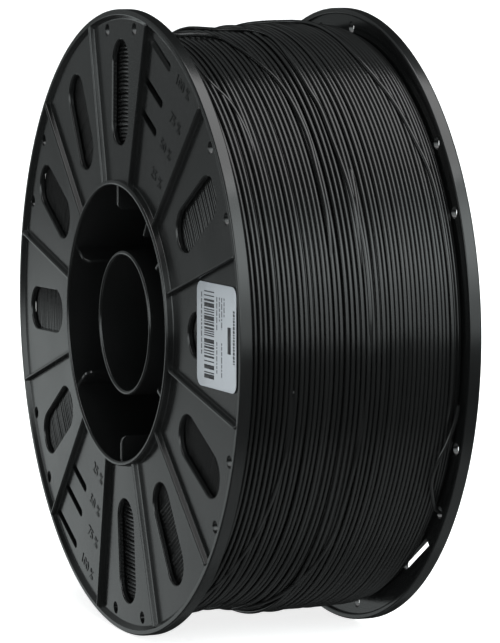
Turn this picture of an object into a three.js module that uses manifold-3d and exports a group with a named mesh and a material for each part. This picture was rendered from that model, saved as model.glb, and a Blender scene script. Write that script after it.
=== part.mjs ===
// Filament spool: two identical moulded halves that plug together at the mid-plane, the wound
// filament between their flanges, its loose end, and a paper label on the front flange.
// Millimetres. The spool's axis is Y, the front flange faces -Y, +Z is up, and the origin is the
// middle of the bore. A clock angle is counted in degrees, clockwise from +Z as seen from the front.
import * as THREE from 'three';
import { mergeVertices } from 'three/addons/utils/BufferGeometryUtils.js';
import Module from 'manifold-3d';

const wasm = await Module();
wasm.setup();

// Driving dimensions
const FLANGE_RADIUS = 125;
const RIM_FACE = 49.4; // from the mid-plane to the outer face of a rim
const RIM_WALL = 2.4; // width of the rim's flat face
const RIM_SLOPE = 1.4; // from the inner edge of that face to the panel
const RIM_WIDTH = 4.9;
const CORE_OUTER_RADIUS = 57.2;
const CORE_WALL = 2;
const COLLAR_STAND = 3; // how far the core's mouth stands proud of the rim face
const BORE_RADIUS = 27.1;
const BORE_TUBE_WALL = 1.9;
const BORE_TUBE_SET_BACK = 0.9;
const PANEL_THICKNESS = 2.1;
const PANEL_DEPTH_AT_RIM = 1.5; // the panel is a shallow cone, deepest at the rim
const PANEL_DEPTH_AT_CORE = 0.1;
const WEB_THICKNESS = 2.3;
const GAP = 0.3; // between solids that touch in the real spool
const FILAMENT_RADIUS = 0.875;
const WINDING_RADIUS = 118.8;

// Sectors between the ribs
const SECTORS = 12;
const SECTOR_ANGLE = 360 / SECTORS;
const FIRST_RIB_CLOCK = 13.24;
const RIB_THICKNESS = 1.75;
const RIB_OUTER_RADIUS = 122.7;
const RIB_STAND_AT_RIM = 0.7;
const RIB_STAND_AT_CORE = 2.2;
const LEVEL_SECTORS = [2, 8]; // these carry level slits, and the others a long slot
const ODD_SECTORS = [1, 3, 5, 7, 9, 11]; // these carry a pair of tie holes, and a gusset in the core

const SLOT = { inner: 71, outer: 112.9, width: 17.5 };
const TIE_HOLE = { radius: 2.45, circle: 117.8, halfSpread: 7.36 };
const LEVEL_SLIT = { width: 3.3, innerEnd: 3.8, distances: [114.4, 98.1, 85.4] };
const GUSSET = { reach: 10, thickness: 1.5, setBack: 2, corner: 3.1 };
const FIN = { clock: 36.4, reach: 9.8, thickness: 1.25, corner: 1 };
const PLUG = { count: 3, circle: 41.5, radius: 3.1, clearance: 0.35, length: 4.2, offset: 15 };
const LABEL = { inner: 81.2, outer: 118, width: 39.7, corner: 3.8, thickness: 0.25 };
const LABEL_SHIFT = -1; // along the rim, from the middle of its sector
const LABEL_TILT = 1.7; // degrees, as it was stuck on by hand

const LATHE_SEGMENTS = 72;
const ROUND_END_STEPS = 6;
const HOLE_SIDES = 8;
const PLUG_SIDES = 12;
const CUT_MARGIN = 4;

const CORE_INNER_RADIUS = CORE_OUTER_RADIUS - CORE_WALL;
const COLLAR_FACE = RIM_FACE + COLLAR_STAND;
const RIM_INNER_RADIUS = FLANGE_RADIUS - RIM_WALL;
const RIM_FOOT_RADIUS = RIM_INNER_RADIUS - RIM_SLOPE;
const JOINT_FACE = GAP / 2;
const TURN_CLOCK = sectorClock(1); // the rear half is turned about this line

function sectorClock(number) {
  return FIRST_RIB_CLOCK - SECTOR_ANGLE / 2 + SECTOR_ANGLE * (number - 1);
}

// Distance from the mid-plane to the panel's outer face.
function panelFace(radius) {
  const share = (radius - CORE_OUTER_RADIUS) / (RIM_FOOT_RADIUS - CORE_OUTER_RADIUS);
  return RIM_FACE - THREE.MathUtils.lerp(PANEL_DEPTH_AT_CORE, PANEL_DEPTH_AT_RIM, share);
}

function radialDirection(clock) {
  const angle = THREE.MathUtils.degToRad(clock);
  return new THREE.Vector3(Math.sin(angle), 0, Math.cos(angle));
}

function tangentDirection(clock) {
  return radialDirection(clock + 90);
}

const OUTWARD = new THREE.Vector3(0, -1, 0);

// Closed ring from a profile of [radius, distance from the mid-plane towards the front].
function ring(profile) {
  const points = profile.map(([radius, distance]) => new THREE.Vector2(radius, -distance));
  points.push(points[0].clone());
  return new THREE.LatheGeometry(points, LATHE_SEGMENTS);
}

// Prism along the axis: the shape's x is the clockwise tangent, its y the radius.
function axialPrism(shape, from, to, clock) {
  const geometry = new THREE.ExtrudeGeometry(shape, {
    depth: to - from,
    bevelEnabled: false,
    curveSegments: ROUND_END_STEPS,
  });
  geometry.translate(0, 0, from);
  const basis = new THREE.Matrix4();
  basis.makeBasis(tangentDirection(clock), radialDirection(clock), OUTWARD);
  return geometry.applyMatrix4(basis);
}

// Upright plate along a radius: the shape's x is the radius, its y the distance from the mid-plane.
function radialPlate(shape, thickness, clock) {
  const geometry = new THREE.ExtrudeGeometry(shape, { depth: thickness, bevelEnabled: false });
  geometry.translate(0, 0, -thickness / 2);
  const basis = new THREE.Matrix4();
  basis.makeBasis(radialDirection(clock), OUTWARD, tangentDirection(clock));
  return geometry.applyMatrix4(basis);
}

function polygon(points) {
  return new THREE.Shape(points.map(([x, y]) => new THREE.Vector2(x, y)));
}

function regularPolygon(radius, sides, centreY) {
  const corners = Array.from({ length: sides }, (_, i) => {
    const angle = (2 * Math.PI * (i + 0.5)) / sides;
    return [radius * Math.cos(angle), centreY + radius * Math.sin(angle)];
  });
  return polygon(corners);
}

// Slot with round ends, from [x0, y0] to [x1, y1] along x or along y.
function roundEndedSlot(x0, y0, x1, y1) {
  const shape = new THREE.Shape();
  const r = Math.min(x1 - x0, y1 - y0) / 2;
  if (y1 - y0 > x1 - x0) {
    const x = (x0 + x1) / 2;
    shape.absarc(x, y1 - r, r, 0, Math.PI, false);
    shape.absarc(x, y0 + r, r, Math.PI, 2 * Math.PI, false);
  } else {
    const y = (y0 + y1) / 2;
    shape.absarc(x1 - r, y, r, -Math.PI / 2, Math.PI / 2, false);
    shape.absarc(x0 + r, y, r, Math.PI / 2, (3 * Math.PI) / 2, false);
  }
  return shape;
}

function roundedRectangle(x0, y0, x1, y1, r) {
  const shape = new THREE.Shape();
  shape.absarc(x1 - r, y1 - r, r, 0, Math.PI / 2, false);
  shape.absarc(x0 + r, y1 - r, r, Math.PI / 2, Math.PI, false);
  shape.absarc(x0 + r, y0 + r, r, Math.PI, 1.5 * Math.PI, false);
  shape.absarc(x1 - r, y0 + r, r, 1.5 * Math.PI, 2 * Math.PI, false);
  return shape;
}

// manifold-3d solid from a closed three.js geometry, and back
function toSolid(geometry) {
  const bare = geometry.clone();
  bare.deleteAttribute('normal');
  bare.deleteAttribute('uv');
  const merged = mergeVertices(bare, 1e-4);
  const mesh = new wasm.Mesh({
    numProp: 3,
    vertProperties: new Float32Array(merged.attributes.position.array),
    triVerts: new Uint32Array(merged.index.array),
  });
  return new wasm.Manifold(mesh);
}

function toGeometry(solid) {
  const mesh = solid.getMesh();
  const geometry = new THREE.BufferGeometry();
  geometry.setAttribute('position', new THREE.BufferAttribute(mesh.vertProperties, 3));
  geometry.setIndex(new THREE.BufferAttribute(mesh.triVerts, 1));
  geometry.computeVertexNormals();
  return geometry;
}

// Turned body of one half: bore tube, web, core wall with its collar, conical panel and rim.
function halfBody() {
  const tubeOuter = BORE_RADIUS + BORE_TUBE_WALL;
  const tubeFace = RIM_FACE - BORE_TUBE_SET_BACK;
  const webFace = JOINT_FACE + WEB_THICKNESS;
  const rimBack = RIM_FACE - RIM_WIDTH;
  return ring([
    [BORE_RADIUS, JOINT_FACE],
    [BORE_RADIUS, tubeFace],
    [tubeOuter, tubeFace],
    [tubeOuter, webFace],
    [CORE_INNER_RADIUS, webFace],
    [CORE_INNER_RADIUS, COLLAR_FACE],
    [CORE_OUTER_RADIUS, COLLAR_FACE],
    [CORE_OUTER_RADIUS, panelFace(CORE_OUTER_RADIUS)],
    [RIM_FOOT_RADIUS, panelFace(RIM_FOOT_RADIUS)],
    [RIM_INNER_RADIUS, RIM_FACE],
    [FLANGE_RADIUS, RIM_FACE],
    [FLANGE_RADIUS, rimBack],
    [RIM_INNER_RADIUS, rimBack],
    [RIM_INNER_RADIUS, panelFace(RIM_INNER_RADIUS) - PANEL_THICKNESS],
    [CORE_OUTER_RADIUS, panelFace(CORE_OUTER_RADIUS) - PANEL_THICKNESS],
    [CORE_OUTER_RADIUS, JOINT_FACE],
  ]);
}

// Thin radial rib on the panel, highest at the collar, running out to the rim.
function rib(clock) {
  const root = CORE_OUTER_RADIUS - CORE_WALL / 2;
  const halfPanel = PANEL_THICKNESS / 2;
  const outline = polygon([
    [root, panelFace(root) - halfPanel],
    [RIB_OUTER_RADIUS, panelFace(RIB_OUTER_RADIUS) - halfPanel],
    [RIB_OUTER_RADIUS, RIM_FACE + RIB_STAND_AT_RIM],
    [root, RIM_FACE + RIB_STAND_AT_CORE],
  ]);
  return radialPlate(outline, RIB_THICKNESS, clock);
}

// Fin inside the core, from the web to the mouth, with an optional round corner at the mouth.
function coreFin(clock, reach, thickness, corner) {
  const root = CORE_INNER_RADIUS + CORE_WALL / 2;
  const tip = CORE_INNER_RADIUS - reach;
  const top = COLLAR_FACE - GUSSET.setBack;
  const outline = polygon([
    [tip, JOINT_FACE + WEB_THICKNESS / 2],
    [root, JOINT_FACE + WEB_THICKNESS / 2],
    [root, top],
    [tip + corner, top],
    [tip + corner * 0.3, top - corner * 0.3],
    [tip, top - corner],
  ]);
  return radialPlate(outline, thickness, clock);
}

function plugClock(index) {
  return TURN_CLOCK + PLUG.offset + (360 / PLUG.count) * index;
}

// Round plug on the joint face; the other half has a socket at the mirrored clock angle.
function plug(clock) {
  const shape = regularPolygon(PLUG.radius, PLUG_SIDES, PLUG.circle);
  return axialPrism(shape, -PLUG.length, JOINT_FACE + WEB_THICKNESS / 2, clock);
}

function plugSocket(clock) {
  const shape = regularPolygon(PLUG.radius + PLUG.clearance, PLUG_SIDES, PLUG.circle);
  return axialPrism(shape, -CUT_MARGIN, WEB_THICKNESS + CUT_MARGIN, clock);
}

function throughPanel(shape, clock) {
  return axialPrism(shape, RIM_FACE - RIM_WIDTH - CUT_MARGIN, RIM_FACE + CUT_MARGIN, clock);
}

function windowSlot(clock) {
  const half = SLOT.width / 2;
  return throughPanel(roundEndedSlot(-half, SLOT.inner, half, SLOT.outer), clock);
}

function tieHole(clock) {
  return throughPanel(regularPolygon(TIE_HOLE.radius, HOLE_SIDES, TIE_HOLE.circle), clock);
}

// Level slit square to the sector's bisector, from the flank of a rib; side is -1 or 1.
function levelSlit(clock, distance, side) {
  const half = LEVEL_SLIT.width / 2;
  const ribAxis = distance * Math.tan(THREE.MathUtils.degToRad(SECTOR_ANGLE / 2));
  const flank = ribAxis - RIB_THICKNESS;
  const ends = [side * flank, side * LEVEL_SLIT.innerEnd].sort((a, b) => a - b);
  return throughPanel(roundEndedSlot(ends[0], distance - half, ends[1], distance + half), clock);
}

function halfAdditions() {
  const parts = [];
  for (let i = 0; i < SECTORS; i += 1) {
    parts.push(rib(FIRST_RIB_CLOCK + SECTOR_ANGLE * i));
  }
  for (const number of ODD_SECTORS) {
    parts.push(coreFin(sectorClock(number), GUSSET.reach, GUSSET.thickness, GUSSET.corner));
  }
  parts.push(coreFin(FIN.clock, FIN.reach, FIN.thickness, FIN.corner));
  for (let i = 0; i < PLUG.count; i += 1) {
    parts.push(plug(plugClock(i)));
  }
  return parts;
}

function halfCuts() {
  const cuts = [];
  for (let number = 1; number <= SECTORS; number += 1) {
    if (!LEVEL_SECTORS.includes(number)) {
      cuts.push(windowSlot(sectorClock(number)));
    }
  }
  for (const number of ODD_SECTORS) {
    cuts.push(tieHole(sectorClock(number) - TIE_HOLE.halfSpread));
    cuts.push(tieHole(sectorClock(number) + TIE_HOLE.halfSpread));
  }
  for (const distance of LEVEL_SLIT.distances) {
    cuts.push(levelSlit(sectorClock(LEVEL_SECTORS[0]), distance, -1));
    cuts.push(levelSlit(sectorClock(LEVEL_SECTORS[1]), distance, 1));
  }
  for (let i = 0; i < PLUG.count; i += 1) {
    cuts.push(plugSocket(2 * TURN_CLOCK - plugClock(i)));
  }
  return cuts;
}

function spoolHalfGeometry() {
  let solid = toSolid(halfBody());
  for (const addition of halfAdditions()) {
    solid = solid.add(toSolid(addition));
  }
  for (const cut of halfCuts()) {
    solid = solid.subtract(toSolid(cut));
  }
  return toGeometry(solid);
}

function blackPlastic() {
  return new THREE.MeshStandardMaterial({ color: 0x17181a, roughness: 0.3, metalness: 0 });
}

function blackFilament() {
  return new THREE.MeshStandardMaterial({ color: 0x101112, roughness: 0.35, metalness: 0 });
}

function labelPaper() {
  return new THREE.MeshStandardMaterial({ color: 0xd8dbe0, roughness: 0.5, metalness: 0 });
}

function namedMesh(name, geometry, material) {
  const mesh = new THREE.Mesh(geometry, material);
  mesh.name = name;
  return mesh;
}

function frontHalf(geometry) {
  return namedMesh('front_spool_half', geometry, blackPlastic());
}

// The same moulding, turned half a turn about the line through its level-mark sectors.
function rearHalf(geometry) {
  const mesh = namedMesh('rear_spool_half', geometry.clone(), blackPlastic());
  mesh.quaternion.setFromAxisAngle(radialDirection(TURN_CLOCK), Math.PI);
  return mesh;
}

// The wound filament: fills the space between the flanges and rounds off towards them.
function winding() {
  const core = CORE_OUTER_RADIUS + GAP;
  const side = (radius) => panelFace(radius) - PANEL_THICKNESS - GAP;
  const shoulder = [
    [WINDING_RADIUS - 5, side(WINDING_RADIUS - 5) - 0.4],
    [WINDING_RADIUS - 3, side(WINDING_RADIUS) - 1.7],
    [WINDING_RADIUS - 1, side(WINDING_RADIUS) - 5.5],
    [WINDING_RADIUS, side(WINDING_RADIUS) - 11],
  ];
  const front = [[core, side(core)], ...shoulder];
  const rear = front.map(([radius, distance]) => [radius, -distance]).reverse();
  return namedMesh('wound_filament', ring([...front, ...rear]), blackFilament());
}

// The loose end leaves the last turn, bows over its neighbours and ends in a tie hole of the
// rear flange. Each stop is [clock angle, radius, y].
function looseEndRoute() {
  const hole = sectorClock(5) + TIE_HOLE.halfSpread;
  const stops = [
    [101.5, 120.5, 43],
    [104.5, 120.6, 42.2],
    [107, 120.7, 41],
    [109.3, 121.1, 39.4],
    [111.7, 121.5, 37.4],
    [114.2, 121.7, 36.3],
    [116.8, 121.6, 36.4],
    [119.4, 121, 38.2],
    [122.1, 120.1, 40.7],
    [hole - 1.3, 118.8, 43.5],
    [hole - 0.2, 118.1, 46.5],
    [hole, 117.8, 49.7],
  ];
  return stops.map(([clock, radius, y]) => {
    const point = radialDirection(clock).multiplyScalar(radius);
    point.y = y;
    return point;
  });
}

function looseEnd() {
  const curve = new THREE.CatmullRomCurve3(looseEndRoute(), false, 'centripetal');
  const section = regularPolygon(FILAMENT_RADIUS, 8, 0);
  const steps = Math.round(curve.getLength() / (2.5 * 2 * FILAMENT_RADIUS)) * 2;
  const geometry = new THREE.ExtrudeGeometry(section, { steps, extrudePath: curve, bevelEnabled: false });
  return namedMesh('filament_end', geometry, blackFilament());
}

// Self-adhesive label over the slot of the sector at three o'clock, following the panel's cone.
function frontLabel() {
  const clock = sectorClock(4);
  const middle = (LABEL.inner + LABEL.outer) / 2;
  const reach = (LABEL.outer - LABEL.inner) / 2;
  const half = LABEL.width / 2;
  const shape = roundedRectangle(-half, -reach, half, reach, LABEL.corner);
  const geometry = new THREE.ExtrudeGeometry(shape, {
    depth: LABEL.thickness,
    bevelEnabled: false,
    curveSegments: ROUND_END_STEPS / 2,
  });
  const rise = panelFace(LABEL.inner) - panelFace(LABEL.outer);
  geometry.rotateZ(-THREE.MathUtils.degToRad(LABEL_TILT));
  geometry.rotateX(-Math.atan2(rise, LABEL.outer - LABEL.inner));
  geometry.translate(LABEL_SHIFT, middle, panelFace(middle) + GAP);
  const basis = new THREE.Matrix4();
  basis.makeBasis(tangentDirection(clock), radialDirection(clock), OUTWARD);
  return namedMesh('front_label', geometry.applyMatrix4(basis), labelPaper());
}

const halfGeometry = spoolHalfGeometry();
const spool = new THREE.Group();
spool.add(frontHalf(halfGeometry), rearHalf(halfGeometry), winding(), looseEnd(), frontLabel());

export default spool;
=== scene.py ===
"""Filament spool: the looks. Two moulded halves, the wound strand, its loose end and the label.

Lengths in the geometry helpers are millimetres in the row frame: the spool's axis is Y, the
labelled flange faces -Y and +Z is up. Meshes are scaled to metres when they are made. A clock
angle is in degrees, clockwise from +Z as seen from the labelled flange.
"""
import math

import bmesh
import bpy
import numpy as np
from mathutils import Matrix, Vector


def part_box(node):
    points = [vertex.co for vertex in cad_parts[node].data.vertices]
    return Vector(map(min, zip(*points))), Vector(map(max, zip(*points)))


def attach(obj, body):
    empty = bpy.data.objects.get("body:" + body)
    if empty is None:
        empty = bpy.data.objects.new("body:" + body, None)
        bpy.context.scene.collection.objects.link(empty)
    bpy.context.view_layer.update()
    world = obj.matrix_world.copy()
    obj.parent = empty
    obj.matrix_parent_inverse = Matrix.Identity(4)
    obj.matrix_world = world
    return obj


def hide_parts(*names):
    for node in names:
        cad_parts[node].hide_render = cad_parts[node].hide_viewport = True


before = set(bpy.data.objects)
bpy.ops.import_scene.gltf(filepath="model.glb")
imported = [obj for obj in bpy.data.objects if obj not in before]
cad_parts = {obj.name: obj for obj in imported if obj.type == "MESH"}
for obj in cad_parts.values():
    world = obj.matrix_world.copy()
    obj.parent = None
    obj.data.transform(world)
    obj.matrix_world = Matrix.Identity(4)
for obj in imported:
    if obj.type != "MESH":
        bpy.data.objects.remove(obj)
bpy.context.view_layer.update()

MM = 0.001


def node_box(name):
    low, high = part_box(name)
    return np.array(low) / MM, np.array(high) / MM


# ---------------------------------------------------------------- sizes, from the frame
HALF_LOW, HALF_HIGH = node_box("front_spool_half")
WIND_LOW, WIND_HIGH = node_box("wound_filament")
FLANGE_RADIUS = HALF_HIGH[0]
COLLAR_FACE = -HALF_LOW[1]
COLLAR_STAND = 3.0
RIM_FACE = COLLAR_FACE - COLLAR_STAND
RIM_WALL, RIM_SLOPE, RIM_WIDTH = 2.4, 1.4, 4.9
RIM_INNER_RADIUS = FLANGE_RADIUS - RIM_WALL
RIM_FOOT_RADIUS = RIM_INNER_RADIUS - RIM_SLOPE
CORE_OUTER_RADIUS = 57.2
CORE_WALL = 2.0
CORE_INNER_RADIUS = CORE_OUTER_RADIUS - CORE_WALL
BORE_RADIUS, BORE_TUBE_WALL, BORE_TUBE_SET_BACK = 27.1, 1.9, 0.9
PANEL_THICKNESS = 2.1
PANEL_DEPTH_AT_RIM, PANEL_DEPTH_AT_CORE = 1.5, 0.1
WEB_THICKNESS = 2.3
JOINT_FACE = 0.15

SECTORS = 12
SECTOR_ANGLE = 360 / SECTORS
FIRST_RIB_CLOCK = 13.24
RIB_THICKNESS = 1.75
RIB_OUTER_RADIUS = 122.7
RIB_STAND_AT_RIM, RIB_STAND_AT_CORE = 0.7, 2.2
LEVEL_SECTORS = (2, 8)
ODD_SECTORS = (1, 3, 5, 7, 9, 11)
SLOT_INNER, SLOT_OUTER, SLOT_WIDTH = 71.0, 112.9, 17.5
TIE_HOLE_RADIUS, TIE_HOLE_CIRCLE, TIE_HOLE_SPREAD = 2.45, 117.8, 7.36
SLIT_WIDTH, SLIT_INNER_END, SLIT_DISTANCES = 3.3, 3.8, (114.4, 98.1, 85.4)
SLIT_RIB_GAP = 0.25
SLOT_SOFTENING, TIE_HOLE_SOFTENING, SLIT_SOFTENING = 0.6, 0.08, 0.25
LEVEL_NUMBERS = ("100 %", "75 %", "50 %", "25 %")
LEVEL_NUMBER_RADII = (114.4, 98.8, 85.2, 70.8)
LEVEL_NUMBER_ACROSS = (10.4, 11.0, 7.6, 5.0)
LEVEL_NUMBER_SIZE, LEVEL_NUMBER_HEIGHT, LEVEL_NUMBER_ROOT = 6.2, 0.25, 0.3
GUSSET_REACH, GUSSET_THICKNESS, GUSSET_CORNER = 10.0, 1.5, 3.1
GUSSET_SET_BACK = 2.0
FIN_CLOCK, FIN_REACH, FIN_THICKNESS, FIN_CORNER = 36.4, 9.8, 1.25, 1.0
PLUGS, PLUG_CIRCLE, PLUG_RADIUS, PLUG_CLEARANCE = 3, 41.5, 3.1, 0.35
PLUG_LENGTH, PLUG_OFFSET = 4.2, 15.0
FILAMENT_RADIUS = 0.875
LAYER_STEP = 1.6
RIM_CLEARANCE = 0.15
CURVE_STEPS = 12


def sector_clock(number):
    return FIRST_RIB_CLOCK - SECTOR_ANGLE / 2 + SECTOR_ANGLE * (number - 1)


TURN_CLOCK = sector_clock(1)


def panel_face(radius):
    share = (radius - CORE_OUTER_RADIUS) / (RIM_FOOT_RADIUS - CORE_OUTER_RADIUS)
    depth = PANEL_DEPTH_AT_CORE + share * (PANEL_DEPTH_AT_RIM - PANEL_DEPTH_AT_CORE)
    return RIM_FACE - depth


# Distance from the mid-plane to the last turn of an outer layer, beside the flange
LAST_TURN = panel_face(WIND_HIGH[0]) - PANEL_THICKNESS - RIM_CLEARANCE - FILAMENT_RADIUS


def rib_top(radius):
    share = (radius - CORE_OUTER_RADIUS) / (RIB_OUTER_RADIUS - CORE_OUTER_RADIUS)
    return RIM_FACE + RIB_STAND_AT_CORE + share * (RIB_STAND_AT_RIM - RIB_STAND_AT_CORE)


def radial(clock):
    angle = math.radians(clock)
    return np.array([math.sin(angle), 0.0, math.cos(angle)])


def tangent(clock):
    return radial(clock + 90)


OUTWARD = np.array([0.0, -1.0, 0.0])


# ---------------------------------------------------------------- mesh helpers
LATHE_SEGMENTS = 240
SHARP_ANGLE, NORMAL_WEIGHT = 40, 80


def mesh_object(name, verts, faces):
    mesh = bpy.data.meshes.new(name)
    mesh.from_pydata((np.asarray(verts, float) * MM).tolist(), [], faces)
    mesh.validate()
    obj = bpy.data.objects.new(name, mesh)
    bpy.context.scene.collection.objects.link(obj)
    mesh.shade_smooth()
    return obj


def grid_faces(rows, columns, close_rows=False):
    """Quads of rows x columns vertices, numbered row by row; each row closes on itself."""
    faces = []
    for i in range(rows if close_rows else rows - 1):
        below, above = i * columns, ((i + 1) % rows) * columns
        for j in range(columns):
            k = (j + 1) % columns
            faces.append((below + j, below + k, above + k, above + j))
    return faces


def arc(centre, radius, start, end, steps):
    """Points of an arc in degrees, counter-clockwise when end is above start."""
    angles = np.radians(np.linspace(start, end, steps + 1))
    return [(centre[0] + radius * math.cos(a), centre[1] + radius * math.sin(a)) for a in angles]


def lathe(name, profile, segments):
    """Closed ring from a profile of (radius, distance from the mid-plane towards the front)."""
    points = np.array(profile)
    angles = np.arange(segments) * 2 * math.pi / segments
    rows = []
    for a in angles:
        x = points[:, 0] * math.sin(a)
        z = points[:, 0] * math.cos(a)
        rows.append(np.column_stack([x, -points[:, 1], z]))
    verts = np.concatenate(rows)
    return mesh_object(name, verts, grid_faces(segments, len(points), close_rows=True))


def make_normals_outward(obj):
    work = bmesh.new()
    work.from_mesh(obj.data)
    bmesh.ops.recalc_face_normals(work, faces=work.faces)
    if work.calc_volume(signed=True) < 0:
        bmesh.ops.reverse_faces(work, faces=work.faces)
    work.to_mesh(obj.data)
    work.free()


def loft(name, sections):
    """Closed solid through sections with equal numbers of points, with flat ends."""
    count = len(sections[0])
    verts = np.concatenate([np.asarray(s, float) for s in sections])
    faces = grid_faces(len(sections), count)
    faces.append(tuple(range(count)))
    faces.append(tuple(range((len(sections) - 1) * count, len(sections) * count)))
    obj = mesh_object(name, verts, faces)
    make_normals_outward(obj)
    return obj


def join(objects):
    """Joins separate solids into the first one, with plain mesh code."""
    work = bmesh.new()
    for obj in objects:
        work.from_mesh(obj.data)
    work.to_mesh(objects[0].data)
    work.free()
    for obj in objects[1:]:
        bpy.data.objects.remove(obj)
    return objects[0]


def apply_modifiers(obj):
    depsgraph = bpy.context.evaluated_depsgraph_get()
    mesh = bpy.data.meshes.new_from_object(obj.evaluated_get(depsgraph))
    obj.modifiers.clear()
    obj.data = mesh


def boolean(obj, other, operation):
    modifier = obj.modifiers.new("boolean", "BOOLEAN")
    modifier.operation = operation
    modifier.solver = "EXACT"
    modifier.object = other
    apply_modifiers(obj)
    bpy.data.objects.remove(other)


def weighted_normals(obj):
    obj.data.shade_smooth()
    obj.data.set_sharp_from_angle(angle=math.radians(SHARP_ANGLE))
    modifier = obj.modifiers.new("normals", "WEIGHTED_NORMAL")
    modifier.keep_sharp = True
    modifier.weight = NORMAL_WEIGHT


# ---------------------------------------------------------------- the spool half
def half_profile():
    """Cross-section of one half, its edges rounded as a moulding's are."""
    tube_outer = BORE_RADIUS + BORE_TUBE_WALL
    tube_face = RIM_FACE - BORE_TUBE_SET_BACK
    web_face = JOINT_FACE + WEB_THICKNESS
    lip, collar, fillet, web_fillet = 0.8, 0.75, 0.45, 1.2
    outer_edge, inner_edge, back_edge = 0.8, 0.5, 0.7
    core_panel = panel_face(CORE_OUTER_RADIUS)
    foot_panel = panel_face(RIM_FOOT_RADIUS)
    rim_back = RIM_FACE - RIM_WIDTH
    slope = math.degrees(math.atan2(RIM_FACE - foot_panel, RIM_SLOPE))
    points = [(BORE_RADIUS, JOINT_FACE)]
    points += arc((BORE_RADIUS + lip, tube_face - lip), lip, 180, 90, 5)
    points += arc((tube_outer - lip, tube_face - lip), lip, 90, 0, 5)
    points += arc((tube_outer + web_fillet, web_face + web_fillet), web_fillet, 180, 270, 4)
    points += arc((CORE_INNER_RADIUS - web_fillet, web_face + web_fillet), web_fillet, 270, 360, 4)
    points += arc((CORE_INNER_RADIUS + collar, COLLAR_FACE - collar), collar, 180, 90, 5)
    points += arc((CORE_OUTER_RADIUS - collar, COLLAR_FACE - collar), collar, 90, 0, 5)
    points += arc((CORE_OUTER_RADIUS + fillet, core_panel + fillet), fillet, 180, 270, 4)
    points += arc((RIM_FOOT_RADIUS - 0.2, foot_panel + fillet), fillet, 270, 270 + slope, 4)
    points += arc((RIM_INNER_RADIUS + 0.4, RIM_FACE - inner_edge), inner_edge, 90 + slope, 90, 4)
    points += arc((FLANGE_RADIUS - outer_edge, RIM_FACE - outer_edge), outer_edge, 90, 0, 7)
    points += arc((FLANGE_RADIUS - back_edge, rim_back + back_edge), back_edge, 0, -90, 5)
    points += arc((RIM_INNER_RADIUS + back_edge, rim_back + back_edge), back_edge, 270, 180, 4)
    points += [
        (RIM_INNER_RADIUS, panel_face(RIM_INNER_RADIUS) - PANEL_THICKNESS),
        (CORE_OUTER_RADIUS + 1, panel_face(CORE_OUTER_RADIUS + 1) - PANEL_THICKNESS),
        (CORE_OUTER_RADIUS, core_panel - PANEL_THICKNESS - 1),
        (CORE_OUTER_RADIUS, JOINT_FACE),
    ]
    return points


def to_world(x, y, a, clock):
    """Points from clockwise-tangent x, radius y and distance a from the mid-plane."""
    x, y, a = (np.asarray(v, float)[:, None] for v in np.broadcast_arrays(x, y, a))
    return x * tangent(clock) + y * radial(clock) + a * OUTWARD


def rib(index):
    """Drafted rib with a rounded top and a small fillet at its foot."""
    clock = FIRST_RIB_CLOCK + SECTOR_ANGLE * index
    half, foot, top_round, draft = RIB_THICKNESS / 2, 0.35, 0.6, 0.15

    def section(radius, shrink=0.0, drop=0.0):
        base, top = panel_face(radius), rib_top(radius) - drop
        crest = half - draft - shrink
        crown = min(top_round, crest - 0.05)
        side = [(-half - foot - 0.05, base - 0.7), (-half - foot, base - 0.03)]
        side += [(x, h) for x, h in arc((-half - foot, base + foot), foot, 285, 360, 3)]
        side += arc((-crest + crown, top - crown), crown, 180, 90, 4)
        outline = side + [(-x, h) for x, h in reversed(side)]
        xs, hs = zip(*outline)
        return to_world(xs, radius, hs, clock)

    inner = CORE_OUTER_RADIUS - CORE_WALL / 2
    outer = RIB_OUTER_RADIUS
    sections = [section(r) for r in np.linspace(inner, outer - 0.6, 12)]
    sections += [section(outer - 0.3, 0.04, 0.1), section(outer - 0.08, 0.12, 0.3)]
    sections += [section(outer, 0.2, 0.6)]
    return loft("rib", sections)


def core_fin(clock, reach, thickness, corner):
    root = CORE_INNER_RADIUS + CORE_WALL / 2
    tip = CORE_INNER_RADIUS - reach
    top = COLLAR_FACE - GUSSET_SET_BACK
    foot = JOINT_FACE + WEB_THICKNESS / 2
    outline = [(tip, foot), (root, foot), (root, top)]
    outline += arc((tip + corner, top - corner), corner, 90, 180, 6)
    radii, heights = zip(*outline)
    half, soft = thickness / 2, 0.3
    sections = []
    for x, inset in ((-half, soft), (-half + soft, 0), (half - soft, 0), (half, soft)):
        rs = [r + (inset if r < root - 0.01 else 0) for r in radii]
        hs = [h - (inset if h > foot + 0.01 else 0) for h in heights]
        sections.append(to_world(x, rs, hs, clock))
    return loft("core_fin", sections)


def plug_clock(index):
    return TURN_CLOCK + PLUG_OFFSET + 360 / PLUGS * index


def disc(radius, distance, sides=36):
    """Points of a circle whose centre is at the given distance from the spool's axis."""
    angles = np.arange(sides) * 2 * math.pi / sides
    return radius * np.cos(angles), distance + radius * np.sin(angles)


def plug(index):
    levels = ((1.2, PLUG_RADIUS), (-PLUG_LENGTH + 0.6, PLUG_RADIUS), (-PLUG_LENGTH, PLUG_RADIUS - 0.5))
    sections = [to_world(*disc(r, PLUG_CIRCLE), a, plug_clock(index)) for a, r in levels]
    return loft("plug", sections)


def plug_socket(index):
    """Cut that takes the other half's plug once that half has been turned about TURN_CLOCK."""
    clock, overrun = 2 * TURN_CLOCK - plug_clock(index), 3
    xs, ys = disc(PLUG_RADIUS + PLUG_CLEARANCE, PLUG_CIRCLE)
    return loft("socket", [to_world(xs, ys, a, clock) for a in (-overrun, WEB_THICKNESS + overrun)])


CUT_OVERRUN = 2.0


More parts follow.
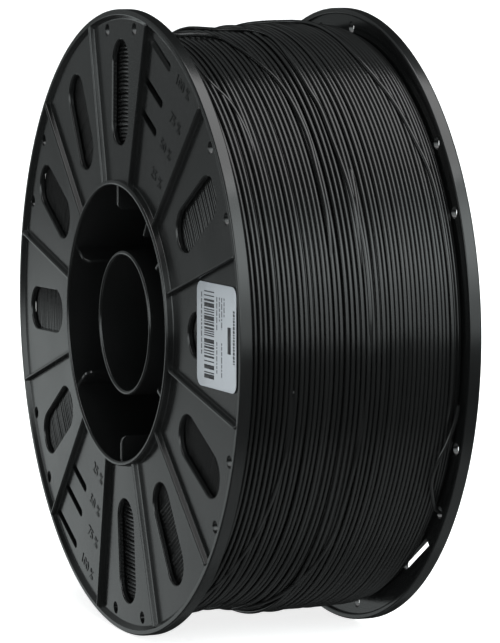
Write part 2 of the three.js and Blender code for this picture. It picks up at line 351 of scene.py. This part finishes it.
def cutter(outline, clock, soften):
    """Through-cut whose mouth is rounded: outline(offset) gives the loop that much wider."""
    levels = [(CUT_OVERRUN, soften * 1.3), (0.12, soften * 1.05)]
    for angle in (78, 58, 38, 18, 0):
        a = math.radians(angle)
        levels.append((-soften * (1 - math.sin(a)), soften * (1 - math.cos(a))))
    back = soften * 0.5
    for angle in (0, 30, 60, 80):
        a = math.radians(angle)
        levels.append((-PANEL_THICKNESS + back * (1 - math.sin(a)), back * (1 - math.cos(a))))
    levels.append((-PANEL_THICKNESS - CUT_OVERRUN, back * 1.3))
    sections = []
    for height, offset in levels:
        xs, ys = (np.array(v) for v in zip(*outline(offset)))
        sections.append(to_world(xs, ys, panel_face(np.hypot(xs, ys)) + height, clock))
    return loft("cutter", sections)


def upright_slot(offset):
    r = SLOT_WIDTH / 2
    ends = arc((0, SLOT_OUTER - r), r + offset, 0, 180, 22)
    return ends + arc((0, SLOT_INNER + r), r + offset, 180, 360, 22)


def round_hole(offset):
    xs, ys = disc(TIE_HOLE_RADIUS + offset, TIE_HOLE_CIRCLE, 28)
    return list(zip(xs, ys))


def level_slit(distance, side):
    """Slit from the rib's flank, where its end is flat, to a round end near the bisector."""
    rib_axis = distance * math.tan(math.radians(SECTOR_ANGLE / 2))
    flank = rib_axis - RIB_THICKNESS / 2 - SLIT_RIB_GAP
    r = SLIT_WIDTH / 2
    lean = math.tan(math.radians(SECTOR_ANGLE / 2))

    def outline(offset):
        reach = r + offset
        points = arc((SLIT_INNER_END + r, distance), reach, 90, 270, 12)
        points += [(flank + end * reach * lean, distance + end * reach) for end in (-1, 1)]
        return points if side > 0 else [(-x, y) for x, y in reversed(points)]

    return outline


def half_cutters():
    cuts = []
    for number in range(1, SECTORS + 1):
        if number not in LEVEL_SECTORS:
            cuts.append(cutter(upright_slot, sector_clock(number), SLOT_SOFTENING))
    for number in ODD_SECTORS:
        for side in (-1, 1):
            clock = sector_clock(number) + side * TIE_HOLE_SPREAD
            cuts.append(cutter(round_hole, clock, TIE_HOLE_SOFTENING))
    for distance in SLIT_DISTANCES:
        for sector, side in zip(LEVEL_SECTORS, (-1, 1)):
            cuts.append(cutter(level_slit(distance, side), sector_clock(sector), SLIT_SOFTENING))
    cuts += [plug_socket(i) for i in range(PLUGS)]
    return join(cuts)


def half_additions():
    parts = [rib(i) for i in range(SECTORS)]
    for number in ODD_SECTORS:
        parts.append(core_fin(sector_clock(number), GUSSET_REACH, GUSSET_THICKNESS, GUSSET_CORNER))
    parts.append(core_fin(FIN_CLOCK, FIN_REACH, FIN_THICKNESS, FIN_CORNER))
    parts += [plug(i) for i in range(PLUGS)]
    return join(parts)


def number_solid(text, place):
    """Raised number as a mesh; place maps (x, y) of the lettering and a height to the spool."""
    curve = bpy.data.curves.new("number", "FONT")
    curve.body = text
    curve.size = LEVEL_NUMBER_SIZE
    curve.extrude = 0.5
    curve.resolution_u = 3
    curve.align_x = "CENTER"
    curve.align_y = "CENTER"
    source = bpy.data.objects.new("number", curve)
    bpy.context.scene.collection.objects.link(source)
    depsgraph = bpy.context.evaluated_depsgraph_get()
    mesh = bpy.data.meshes.new_from_object(source.evaluated_get(depsgraph))
    bpy.data.objects.remove(source)
    work = bmesh.new()
    work.from_mesh(mesh)
    bmesh.ops.remove_doubles(work, verts=work.verts, dist=1e-4)
    for vert in work.verts:
        level = LEVEL_NUMBER_HEIGHT if vert.co.z > 0 else -LEVEL_NUMBER_ROOT
        vert.co = Vector(place(vert.co.x, vert.co.y, level)) * MM
    work.to_mesh(mesh)
    work.free()
    obj = bpy.data.objects.new("number", mesh)
    bpy.context.scene.collection.objects.link(obj)
    return obj


def level_number(text, distance, middle, sector, direction):
    """Level number beside its slit, readable with the spool upright."""
    clock = sector_clock(sector)

    def place(x, y, level):
        across = direction * (x + middle)
        out = distance + direction * y
        face = panel_face(math.hypot(across, out)) + level
        return to_world([across], [out], [face], clock)[0]

    return number_solid(text, place)


def spool_half(name):
    half = lathe(name, half_profile(), LATHE_SEGMENTS)
    make_normals_outward(half)
    boolean(half, half_additions(), "UNION")
    boolean(half, half_cutters(), "DIFFERENCE")
    numbers = []
    for mark in zip(LEVEL_NUMBERS, LEVEL_NUMBER_RADII, LEVEL_NUMBER_ACROSS):
        numbers.append(level_number(*mark, LEVEL_SECTORS[0], 1))
        numbers.append(level_number(*mark, LEVEL_SECTORS[1], -1))
    boolean(half, join(numbers), "UNION")
    weighted_normals(half)
    return half


def turned_copy(obj, name):
    """The same moulding, half a turn about the line through the middle of its first sector."""
    copy = bpy.data.objects.new(name, obj.data.copy())
    bpy.context.scene.collection.objects.link(copy)
    copy.data.transform(Matrix.Rotation(math.pi, 4, Vector(radial(TURN_CLOCK))))
    for modifier in obj.modifiers:
        new = copy.modifiers.new(modifier.name, modifier.type)
        new.keep_sharp = modifier.keep_sharp
        new.weight = modifier.weight
    return copy


# ---------------------------------------------------------------- the wound strand
def smooth_noise(seed, shape, keep):
    """Periodic noise of unit size over an angle, with wave numbers up to keep."""
    rng = np.random.RandomState(seed)
    waves = rng.normal(size=(shape[0], keep)) / np.sqrt(np.arange(1, keep + 1))
    phases = rng.uniform(0, 2 * math.pi, size=(shape[0], keep))
    angle = np.linspace(0, 2 * math.pi, shape[1], endpoint=False)
    total = np.zeros(shape)
    for k in range(keep):
        total += waves[:, k : k + 1] * np.cos((k + 1) * angle[None, :] + phases[:, k : k + 1])
    return total / total.std()


# Outer radius of the winding at twelve o'clock and at six o'clock, by place across its width
SWELL_Y = (-44, -33, -25, -18, -10, -3, 5, 13, 20, 28, 35, 39.5, 42.5, 44.5)
SWELL_TOP = (114.6, 115.0, 115.9, 116.8, 117.2, 118.0, 118.3, 118.6, 119.2, 119.3, 118.8, 118.2,
             117.0, 116.1)
SWELL_FOOT = (116.0, 116.6, 116.9, 116.8, 116.6, 118.5, 119.3, 118.8, 118.6, 118.8, 118.6, 118.0,
              116.6, 115.4)


def surface(y, angle):
    """Outer radius of the winding, swelling and dipping across its width and round it."""
    top = np.interp(y, SWELL_Y, SWELL_TOP)
    foot = np.interp(y, SWELL_Y, SWELL_FOOT)
    share = 0.5 + 0.5 * np.cos(angle)
    lean = 0.25 * np.sin(0.13 * y - 2 * angle + 0.7) + 0.2 * np.sin(0.21 * y + 3 * angle)
    return share * top + (1 - share) * foot + lean


def tube_faces(rows, columns, closed):
    """grid_faces as arrays, fast enough for the whole winding."""
    i = np.arange(rows if closed else rows - 1)[:, None]
    j = np.arange(columns)[None, :]
    above, right = (i + 1) % rows, (j + 1) % columns
    corners = [i * columns + j, i * columns + right, above * columns + right, above * columns + j]
    return np.stack([np.broadcast_to(c, (len(i), columns)) for c in corners], -1).reshape(-1, 4)


def end_caps(rows, columns):
    """The two end faces of an open tube whose sides come from tube_faces."""
    last = (rows - 1) * columns
    return [list(range(columns))[::-1], [last + k for k in range(columns)]]


def fast_mesh(name, verts, quads, caps=()):
    mesh = bpy.data.meshes.new(name)
    loops = np.concatenate([quads.ravel()] + [np.asarray(c) for c in caps]).astype(np.int32)
    sizes = np.concatenate([np.full(len(quads), 4), [len(c) for c in caps]]).astype(np.int32)
    starts = np.concatenate([[0], np.cumsum(sizes)[:-1]]).astype(np.int32)
    mesh.vertices.add(len(verts))
    mesh.vertices.foreach_set("co", (np.asarray(verts) * MM).astype(np.float32).ravel())
    mesh.loops.add(len(loops))
    mesh.loops.foreach_set("vertex_index", loops)
    mesh.polygons.add(len(sizes))
    mesh.polygons.foreach_set("loop_start", starts)
    mesh.update(calc_edges=True)
    mesh.validate()
    mesh.shade_smooth()
    obj = bpy.data.objects.new(name, mesh)
    bpy.context.scene.collection.objects.link(obj)
    return obj


def strand_sections(angle, radius, y, sides):
    around = np.arange(sides) * 2 * math.pi / sides
    rho = radius[:, None] + FILAMENT_RADIUS * np.cos(around)[None, :]
    across = y[:, None] + FILAMENT_RADIUS * np.sin(around)[None, :]
    points = [rho * np.sin(angle)[:, None], across, rho * np.cos(angle)[:, None]]
    return np.stack(points, -1).reshape(-1, 3)


# Places across the width where the turns leave a gap, and where they start to lie side by side
GAPS = (-43.2, -40.6, -36.2, -31.5, -26.9, -22.0, -17.8, -12.7, -8.4, -3.8, -1.4, 1.4, 6.2, 11.0)
EVEN_FROM = 12.0


def spaced_turns(low, high, seed):
    """Places of the turns: loosely wound near the front flange and evenly towards the rear."""
    rng = np.random.RandomState(seed)
    places, y = [], low
    while y < high:
        places.append(y)
        step = 2 * FILAMENT_RADIUS + (rng.uniform(0, 0.25) if y < EVEN_FROM else 0.04)
        if any(y < gap <= y + step for gap in GAPS):
            step += rng.uniform(0.2, 0.5)
        y += step
    return np.array(places)


def outer_layer(name, sink, seed, steps, sides, direction):
    """One layer of the winding as a single helix, from flange to flange."""
    places = spaced_turns(-LAST_TURN, LAST_TURN, seed)
    turns = len(places)
    turn = np.arange(turns * steps) / steps
    angle = direction * 2 * math.pi * turn
    y = np.interp(turn, np.arange(turns) + 0.5, places)
    lift = smooth_noise(seed + 1, (turns, steps), 5).ravel()
    drift = smooth_noise(seed + 3, (turns, steps), 3).ravel()
    blend = np.tile(np.clip(np.minimum(np.arange(steps), steps - np.arange(steps)) / 30, 0, 1), turns)
    steady = np.repeat(np.random.RandomState(seed + 2).normal(size=turns), steps)
    steady = np.convolve(np.pad(steady, 30, mode="edge"), np.ones(61) / 61, mode="valid")
    loose = np.interp(y, (EVEN_FROM - 6, EVEN_FROM + 6, LAST_TURN - 3, LAST_TURN), (1, 0.45, 0.45, 0.1))
    radius = surface(y, angle) - FILAMENT_RADIUS - sink + loose * (0.16 * lift * blend + 0.3 * steady)
    verts = strand_sections(angle, radius, y + 0.05 * drift * blend, sides)
    quads = tube_faces(len(angle), sides, False)
    return fast_mesh(name, verts, quads, end_caps(len(angle), sides))


# Turns that cross the others: (clock angle, y) along each, and how high they ride on the layer
CROSSING_TURNS = (
    (((-12, -45), (2, -41), (8, -33), (10, -25), (13, -18.5), (20.4, -15.2), (27.1, -12), (34.1, -9),
      (43.9, -7.4), (49.9, -7), (56.5, -7.3), (66, -7.2), (78, -7.2)), 1.5),
    (((-16, -22), (2, -16), (8.8, -4), (14.8, 1.2), (27.2, 1), (37.2, 1.3), (41.4, 2.2), (50.5, 2.6),
      (62, 4.2), (76, 5.2)), 1.3),
    (((-24, 6), (-8, 12), (-1, 24), (5.5, 27.2), (17.1, 28), (25.5, 28.4), (34.5, 30.9), (41.8, 33.9),
      (50.5, 36.6), (57.1, 39), (72, 40), (86, 40.2), (100, 40.4), (112, 40.6)), 1.4),
    (((6, -41), (17.4, -38.4), (24.8, -37), (32.2, -35.4), (38.3, -32), (47, -30), (60, -29.2)), 0.6),
    (((52, 8), (60, 6.6), (66, 5.6), (72, 6), (82, 6.2), (96, 6)), 0.9),
    (((100, 5.4), (112, 3.6), (121, 2.8), (128, 2.6), (136, 1), (144, -2.2), (153, -5.2), (166, -10),
      (180, -14)), 0.9),
    (((98, -23.5), (112, -25), (126, -28), (140, -32.5), (152, -37), (164, -41)), 0.8),
)


def crossing_turn(name, stops, ride):
    """One raised turn, sinking between its neighbours at both ends."""
    steps, sides, end_length, end_sink = 160, 14, 14, 0.9
    along = np.linspace(stops[0][0], stops[-1][0], steps)
    line = catmull_rom([np.array([c, y, 0.0]) for c, y in stops], CURVE_STEPS)
    y = np.interp(along, line[:, 0], line[:, 1])
    angle = np.radians(along)
    rise = np.clip(np.minimum(along - along[0], along[-1] - along) / end_length, 0, 1)
    rise = rise * rise * (3 - 2 * rise)
    radius = surface(y, angle) - FILAMENT_RADIUS + ride * rise - end_sink * (1 - rise)
    verts = strand_sections(angle, radius, y, sides)
    return fast_mesh(name, verts, tube_faces(steps, sides, False), end_caps(steps, sides))


def side_rings(name, side, seed):
    """The edges of the layers, seen through the flange's slots, as rings one above another."""
    steps, sides, first, last = 180, 8, 1.4, 2
    rng = np.random.RandomState(seed)
    radii = np.arange(CORE_OUTER_RADIUS + first, WIND_HIGH[0] - last, LAYER_STEP)
    angle = np.arange(steps) * 2 * math.pi / steps
    wander = smooth_noise(seed + 1, (len(radii), steps), 3)
    verts, quads = [], []
    for i, radius in enumerate(radii):
        face = panel_face(radius) - PANEL_THICKNESS - RIM_CLEARANCE - FILAMENT_RADIUS
        back = abs(rng.normal(0, 0.22)) + 0.12 * abs(wander[i])
        y = side * (face - back)
        rho = np.minimum(radius + 0.06 * wander[i], surface(side * LAST_TURN, angle) - FILAMENT_RADIUS)
        verts.append(strand_sections(angle, rho, np.broadcast_to(y, rho.shape), sides))
        quads.append(tube_faces(steps, sides, True) + i * steps * sides)
    return fast_mesh(name, np.concatenate(verts), np.concatenate(quads))


def winding_body():
    """The inner bulk of the winding, just behind the strands that show."""
    inner, margin, depth = CORE_OUTER_RADIUS + 0.4, 2.0, 4.2
    profile = [(inner, -(WIND_HIGH[1] - margin))]
    for y in np.linspace(WIND_HIGH[1] - margin, WIND_LOW[1] + margin, 25):
        profile.append((surface(y, math.pi / 2) - depth, -y))
    profile.append((inner, -(WIND_LOW[1] + margin)))
    body = lathe("winding_body", profile, 180)
    make_normals_outward(body)
    return body


# ---------------------------------------------------------------- the loose end
def catmull_rom(stops, steps):
    """Centripetal Catmull-Rom curve through the stops."""
    points = [2 * stops[0] - stops[1]] + list(stops) + [2 * stops[-1] - stops[-2]]
    line = []
    for p0, p1, p2, p3 in zip(points, points[1:], points[2:], points[3:]):
        t1 = np.linalg.norm(p1 - p0) ** 0.5
        t2 = t1 + np.linalg.norm(p2 - p1) ** 0.5
        t3 = t2 + np.linalg.norm(p3 - p2) ** 0.5
        for t in np.linspace(t1, t2, steps, endpoint=False):
            a1 = ((t1 - t) * p0 + t * p1) / t1
            a2 = ((t2 - t) * p1 + (t - t1) * p2) / (t2 - t1)
            a3 = ((t3 - t) * p2 + (t - t2) * p3) / (t3 - t2)
            b1 = ((t2 - t) * a1 + t * a2) / t2
            b2 = ((t3 - t) * a2 + (t - t1) * a3) / (t3 - t1)
            line.append(((t2 - t) * b1 + (t - t1) * b2) / (t2 - t1))
    line.append(points[-2])
    return np.array(line)


def loose_end_line():
    """From the last turn, over the winding's edge and out through a tie hole of the rear flange."""
    hole = sector_clock(5) + TIE_HOLE_SPREAD
    # (clock angle, radius, distance behind the mid-plane)
    stops = [
        (101.5, 120.5, 43),
        (104.5, 120.6, 42.2),
        (107, 120.7, 41),
        (109.3, 121.1, 39.4),
        (111.7, 121.5, 37.4),
        (114.2, 121.7, 36.3),
        (116.8, 121.6, 36.4),
        (119.4, 121, 38.2),
        (122.1, 120.1, 40.7),
        (hole - 1.3, 118.8, 43.5),
        (hole - 0.2, 118.1, 46.5),
        (hole, 117.8, 49.7),
    ]
    return catmull_rom([r * radial(c) - y * OUTWARD for c, r, y in stops], CURVE_STEPS)


def strand_curve(name, line):
    curve = bpy.data.curves.new(name, "CURVE")
    curve.dimensions = "3D"
    curve.bevel_depth = FILAMENT_RADIUS * MM
    curve.bevel_resolution = 4
    curve.use_fill_caps = True
    spline = curve.splines.new("POLY")
    spline.points.add(len(line) - 1)
    for point, place in zip(spline.points, line * MM):
        point.co = (*place, 1)
    spline.use_smooth = True
    obj = bpy.data.objects.new(name, curve)
    bpy.context.scene.collection.objects.link(obj)
    return obj


# ---------------------------------------------------------------- the label
LABEL_INNER, LABEL_OUTER, LABEL_WIDTH = 81.2, 118.0, 39.7
LABEL_CORNER, LABEL_THICKNESS, LABEL_LIFT = 3.8, 0.25, 0.3
LABEL_SHIFT, LABEL_TILT = -1.0, math.radians(1.7)


def label_place(across, out, lift):
    """Point of the label: across is the clockwise tangent, out the radius, lift off the paper."""
    middle = (LABEL_INNER + LABEL_OUTER) / 2
    turned = across * math.cos(LABEL_TILT) + (out - middle) * math.sin(LABEL_TILT) + LABEL_SHIFT
    out = middle + (out - middle) * math.cos(LABEL_TILT) - across * math.sin(LABEL_TILT)
    share = (out - LABEL_INNER) / (LABEL_OUTER - LABEL_INNER)
    inner, outer = panel_face(LABEL_INNER), panel_face(LABEL_OUTER)
    face = inner + share * (outer - inner) + LABEL_LIFT + lift
    return to_world([turned], [out], [face], sector_clock(4))[0]


def rounded_rectangle(x0, y0, x1, y1, r, steps):
    centres = ((x1 - r, y1 - r), (x0 + r, y1 - r), (x0 + r, y0 + r), (x1 - r, y0 + r))
    points = []
    for corner, centre in enumerate(centres):
        points += arc(centre, r, 90 * corner, 90 * (corner + 1), steps)
    return points


def label_sheet():
    half = LABEL_WIDTH / 2
    levels = ((0, 0.06), (0.05, 0), (LABEL_THICKNESS - 0.05, 0), (LABEL_THICKNESS, 0.06))
    sections = []
    for lift, inset in levels:
        box = (-half + inset, LABEL_INNER + inset, half - inset, LABEL_OUTER - inset)
        outline = rounded_rectangle(*box, LABEL_CORNER - inset, 8)
        sections.append([label_place(x, y, lift) for x, y in outline])
    return loft("label_sheet", sections)


def print_bar(x0, y0, x1, y1):
    """Thin bar of ink, sunk a little into the paper."""
    corners = ((x0, y0), (x1, y0), (x1, y1), (x0, y1))
    low, high = LABEL_THICKNESS - 0.03, LABEL_THICKNESS + 0.012
    return loft("bar", [[label_place(x, y, lift) for x, y in corners] for lift in (low, high)])


def print_row(rng, start, end, out, height, widths, space):
    """A row of short bars from start to end across the label, at one distance from the axis."""
    bars, x = [], start
    while x < end:
        width = rng.uniform(*widths)
        bars.append(print_bar(x, out, min(x + width, end), out + height))
        x += width + space
    return bars


def label_print():
    """A plain bar code and ruled lines in place of wording, upright on the spool's right side."""
    rng = np.random.RandomState(5)
    half = LABEL_WIDTH / 2
    bars = []
    x = -half + 3.2
    while x < half - 4.6:
        width = rng.choice([0.45, 0.8, 1.6], p=[0.45, 0.3, 0.25])
        bars.append(print_bar(x, 88.2, x + width, 97.6))
        x += width + rng.choice([0.4, 0.6, 1.1], p=[0.5, 0.3, 0.2])
    bars += print_row(rng, -half + 4, half - 12, 85.4, 0.7, (0.8, 2.2), 0.5)
    for out, start, end in ((99.8, -15, -2), (99.8, 2, 14), (102.2, -15, -6), (104.4, -15, -3),
                            (104.4, 2, 15), (106.6, -15, -8)):
        bars += print_row(rng, start, end, out, 0.7, (0.7, 2.4), 0.5)
    bars.append(print_bar(-4.5, 110.2, 5.5, 113.2))
    bars += print_row(rng, -11, 9, 115.2, 1.6, (0.5, 1.2), 0.35)
    return join(bars)


# ---------------------------------------------------------------- materials
def material(name):
    made = bpy.data.materials.new(name)
    made.use_nodes = True
    nodes = made.node_tree.nodes
    return made, nodes, made.node_tree.links, nodes["Principled BSDF"]


def object_noise(nodes, links, scale, detail, coordinates=None):
    noise = nodes.new("ShaderNodeTexNoise")
    noise.inputs["Scale"].default_value = scale
    noise.inputs["Detail"].default_value = detail
    if coordinates is None:
        coordinates = nodes.new("ShaderNodeTexCoord").outputs["Object"]
    links.new(coordinates, noise.inputs["Vector"])
    return noise.outputs["Fac"]


def map_range(nodes, links, value, low, high, to_low, to_high):
    node = nodes.new("ShaderNodeMapRange")
    for name, number in zip(("From Min", "From Max", "To Min", "To Max"), (low, high, to_low, to_high)):
        node.inputs[name].default_value = number
    links.new(value, node.inputs["Value"])
    return node.outputs["Result"]


def colour_mix(nodes, links, value, dark, light):
    mix = nodes.new("ShaderNodeMix")
    mix.data_type = "RGBA"
    mix.inputs["A"].default_value = (*dark, 1)
    mix.inputs["B"].default_value = (*light, 1)
    links.new(value, mix.inputs["Factor"])
    return mix.outputs["Result"]


def bump(nodes, links, shader, height, strength, distance):
    node = nodes.new("ShaderNodeBump")
    node.inputs["Strength"].default_value = strength
    node.inputs["Distance"].default_value = distance
    links.new(height, node.inputs["Height"])
    links.new(node.outputs["Normal"], shader.inputs["Normal"])


def moulded_plastic():
    made, nodes, links, shader = material("moulded_black_plastic")
    broad = object_noise(nodes, links, 35, 3)
    fine = object_noise(nodes, links, 900, 2)
    links.new(colour_mix(nodes, links, broad, (0.0040, 0.0042, 0.0042), (0.0060, 0.0063, 0.0063)),
              shader.inputs["Base Color"])
    links.new(map_range(nodes, links, broad, 0.3, 0.7, 0.16, 0.22), shader.inputs["Roughness"])
    bump(nodes, links, shader, fine, 0.12, 0.00004)
    return made


def around_axis(nodes, links):
    """Coordinates that follow the winding: (angle, radius, y), stretched along the strand."""
    split = nodes.new("ShaderNodeSeparateXYZ")
    links.new(nodes.new("ShaderNodeTexCoord").outputs["Object"], split.inputs["Vector"])
    angle = nodes.new("ShaderNodeMath")
    angle.operation = "ARCTAN2"
    links.new(split.outputs["X"], angle.inputs[0])
    links.new(split.outputs["Z"], angle.inputs[1])
    slow = nodes.new("ShaderNodeMath")
    slow.operation = "MULTIPLY"
    slow.inputs[1].default_value = 0.004
    links.new(angle.outputs["Value"], slow.inputs[0])
    flat = nodes.new("ShaderNodeCombineXYZ")
    links.new(split.outputs["X"], flat.inputs["X"])
    links.new(split.outputs["Z"], flat.inputs["Y"])
    length = nodes.new("ShaderNodeVectorMath")
    length.operation = "LENGTH"
    links.new(flat.outputs["Vector"], length.inputs[0])
    join_xyz = nodes.new("ShaderNodeCombineXYZ")
    links.new(slow.outputs["Value"], join_xyz.inputs["X"])
    links.new(length.outputs["Value"], join_xyz.inputs["Y"])
    links.new(split.outputs["Y"], join_xyz.inputs["Z"])
    return join_xyz.outputs["Vector"]


def filament_plastic():
    made, nodes, links, shader = material("black_filament")
    along = around_axis(nodes, links)
    streaks = object_noise(nodes, links, 1500, 2, along)
    bands = object_noise(nodes, links, 260, 2, along)
    links.new(colour_mix(nodes, links, bands, (0.0040, 0.0041, 0.0041), (0.0062, 0.0063, 0.0063)),
              shader.inputs["Base Color"])
    links.new(map_range(nodes, links, bands, 0.3, 0.7, 0.15, 0.22), shader.inputs["Roughness"])
    bump(nodes, links, shader, streaks, 0.1, 0.00004)
    return made


def label_paper():
    made, nodes, links, shader = material("coated_label_paper_painted_shade")
    fibre = object_noise(nodes, links, 1400, 4)
    # Painted shade: the white paper's colour is dimmed to about a third, standing in for the little
    # light that falls on the label. The fibre noise is the paper's own random tone.
    links.new(colour_mix(nodes, links, fibre, (0.276, 0.293, 0.314), (0.318, 0.335, 0.36)),
              shader.inputs["Base Color"])
    links.new(map_range(nodes, links, fibre, 0.3, 0.7, 0.38, 0.5), shader.inputs["Roughness"])
    bump(nodes, links, shader, fibre, 0.15, 0.00002)
    return made


def label_ink():
    made, nodes, links, shader = material("label_ink")
    grain = object_noise(nodes, links, 2600, 2)
    links.new(colour_mix(nodes, links, grain, (0.012, 0.012, 0.014), (0.03, 0.03, 0.035)),
              shader.inputs["Base Color"])
    links.new(map_range(nodes, links, grain, 0.3, 0.7, 0.4, 0.55), shader.inputs["Roughness"])
    return made


def paint(made, *objects):
    for obj in objects:
        obj.data.materials.clear()
        obj.data.materials.append(made)


# ---------------------------------------------------------------- camera, light and floor
CAMERA_AZIMUTH, CAMERA_ELEVATION = 67.338, 5.763
CAMERA_DISTANCE = 1.46264
CAMERA_AIM = (0.00585, -0.00137)
CAMERA_LENS = 202.22


def add_camera():
    a, e = math.radians(CAMERA_AZIMUTH), math.radians(CAMERA_ELEVATION)
    back = Vector((math.sin(a) * math.cos(e), -math.cos(a) * math.cos(e), math.sin(e)))
    right = Vector((math.cos(a), math.sin(a), 0))
    up = back.cross(right)
    data = bpy.data.cameras.new("camera")
    data.lens = CAMERA_LENS
    data.sensor_width = 36
    data.clip_end = 100
    camera = bpy.data.objects.new("camera", data)
    turn = Matrix((right, up, back)).transposed().to_4x4()
    place = back * CAMERA_DISTANCE + right * CAMERA_AIM[0] + up * CAMERA_AIM[1]
    camera.matrix_world = Matrix.Translation(place) @ turn
    bpy.context.scene.collection.objects.link(camera)
    bpy.context.scene.camera = camera


FLOOR_REACH, FLOOR_GAP = 40.0, 0.0004


def add_floor():
    size, level = FLOOR_REACH, -FLANGE_RADIUS * MM - FLOOR_GAP
    corners = [(-size, -size), (size, -size), (size, size), (-size, size)]
    mesh = bpy.data.meshes.new("floor")
    mesh.from_pydata([(x, y, level) for x, y in corners], [], [(0, 1, 2, 3)])
    floor = bpy.data.objects.new("floor", mesh)
    bpy.context.scene.collection.objects.link(floor)
    made, nodes, links, shader = material("pale_floor")
    shader.inputs["Base Color"].default_value = (0.88, 0.88, 0.88, 1)
    shader.inputs["Roughness"].default_value = 0.9
    shader.inputs["Specular IOR Level"].default_value = 0.2
    shader.inputs["Emission Color"].default_value = (1, 1, 1, 1)
    shader.inputs["Emission Strength"].default_value = 0.8
    paint(made, floor)
    floor.visible_glossy = False


def math_node(nodes, links, operation, first, second=None):
    node = nodes.new("ShaderNodeMath")
    node.operation = operation
    for socket, value in zip(node.inputs, (first, second)):
        if isinstance(value, (int, float)):
            socket.default_value = value
        elif value is not None:
            links.new(value, socket)
    return node.outputs["Value"]


def ramp_up(nodes, links, value, centre, softness):
    """0 below centre and 1 above it, with a soft step."""
    node = nodes.new("ShaderNodeMapRange")
    node.interpolation_type = "SMOOTHSTEP"
    node.inputs["From Min"].default_value = centre - softness
    node.inputs["From Max"].default_value = centre + softness
    links.new(value, node.inputs["Value"])
    return node.outputs["Result"]


def soft_window(nodes, links, value, low, high, softness):
    below = ramp_up(nodes, links, value, low, softness)
    above = ramp_up(nodes, links, value, high, softness)
    return math_node(nodes, links, "SUBTRACT", below, above)


# Soft boxes of the studio: azimuth from +X towards +Y and elevation, both from and to in degrees,
# brightness, and the softness of the edges in azimuth and elevation.
SOFT_BOXES = (
    ((-38, 55), (-4, 52), 1.4, (4, 2.5)),
    ((-38, 55), (15, 42), 2.0, (4, 10)),
    ((-90, 90), (48, 91), 0.15, (12, 12)),
    ((-180, 180), (55, 91), 0.2, (10, 8)),
    ((-60, 100), (-91, -39), 0.2, (20, 4)),
    ((-180, 180), (-91, -44), 0.12, (10, 3)),
    ((-125, -45), (-2, 19), 2.6, (8, 6)),
    ((-181, -159.5), (-20, -4.8), 0.8, (1.2, 1.8)),
    ((-159.5, -150), (-20, -6.5), 0.44, (3, 1.8)),
    ((-181, -125), (-5, 60), 0.2, (3, 6)),
    ((80, 140), (0, 32), 0.2, (10, 8)),
)
AMBIENT = 0.023
LIGHT_COLOUR = (0.93, 1.0, 1.0)


def add_world():
    world = bpy.data.worlds.new("studio")
    bpy.context.scene.world = world
    world.use_nodes = True
    nodes, links = world.node_tree.nodes, world.node_tree.links
    background = nodes["Background"]
    split = nodes.new("ShaderNodeSeparateXYZ")
    links.new(nodes.new("ShaderNodeTexCoord").outputs["Generated"], split.inputs["Vector"])
    x, y, z = (split.outputs[k] for k in "XYZ")
    azimuth = math_node(nodes, links, "DEGREES", math_node(nodes, links, "ARCTAN2", y, x))
    elevation = math_node(nodes, links, "DEGREES", math_node(nodes, links, "ARCSINE", z))
    total = AMBIENT
    for (west, east), (low, high), brightness, (side_soft, height_soft) in SOFT_BOXES:
        across = soft_window(nodes, links, azimuth, west, east, side_soft)
        tall = soft_window(nodes, links, elevation, low, high, height_soft)
        box = math_node(nodes, links, "MULTIPLY", across, tall)
        box = math_node(nodes, links, "MULTIPLY", box, brightness)
        total = math_node(nodes, links, "ADD", box, total)
    seen = nodes.new("ShaderNodeLightPath").outputs["Is Camera Ray"]
    strength = math_node(nodes, links, "MAXIMUM", seen, total)
    links.new(strength, background.inputs["Strength"])
    links.new(colour_mix(nodes, links, seen, LIGHT_COLOUR, (1, 1, 1)), background.inputs["Color"])


LAMP_PLACE, LAMP_SIZE, LAMP_WATTS = (0.6, 0.3, 2.6), 3.0, 60


def add_floor_light():
    """Broad light from above for the floor and the paper; it leaves no highlight on the plastic."""
    light = bpy.data.lights.new("floor_light", "AREA")
    light.shape = "DISK"
    light.size = LAMP_SIZE
    light.energy = LAMP_WATTS
    light.specular_factor = 0
    lamp = bpy.data.objects.new("floor_light", light)
    lamp.location = LAMP_PLACE
    lamp.rotation_euler = Vector(LAMP_PLACE).to_track_quat("Z", "Y").to_euler()
    bpy.context.scene.collection.objects.link(lamp)


# ---------------------------------------------------------------- the whole
bpy.context.scene.view_settings.view_transform = "Standard"
add_camera()
add_world()
add_floor()
add_floor_light()

loose_line = loose_end_line()
loose_end = strand_curve("loose_end", loose_line)

half = spool_half("front_half_moulding")
rear = turned_copy(half, "rear_half_moulding")
top_layer = outer_layer("strand_top_layer", 0.0, 11, 240, 10, 1)
under_layer = outer_layer("strand_under_layer", LAYER_STEP, 29, 180, 8, -1)
crossing = join([crossing_turn("strand_crossings", *turn) for turn in CROSSING_TURNS])
front_rings = side_rings("strand_front_edges", -1, 41)
rear_rings = side_rings("strand_rear_edges", 1, 53)
body = winding_body()
sheet = label_sheet()
sheet.name = "label_sheet"
printing = label_print()
printing.name = "label_print"

paint(moulded_plastic(), half, rear)
strands = (top_layer, under_layer, crossing, front_rings, rear_rings, body, loose_end)
paint(filament_plastic(), *strands)
paint(label_paper(), sheet)
paint(label_ink(), printing)

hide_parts("front_spool_half")
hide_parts("rear_spool_half")
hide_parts("wound_filament")
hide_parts("filament_end")
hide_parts("front_label")
for piece in (half, rear, *strands, sheet, printing):
    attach(piece, "root")
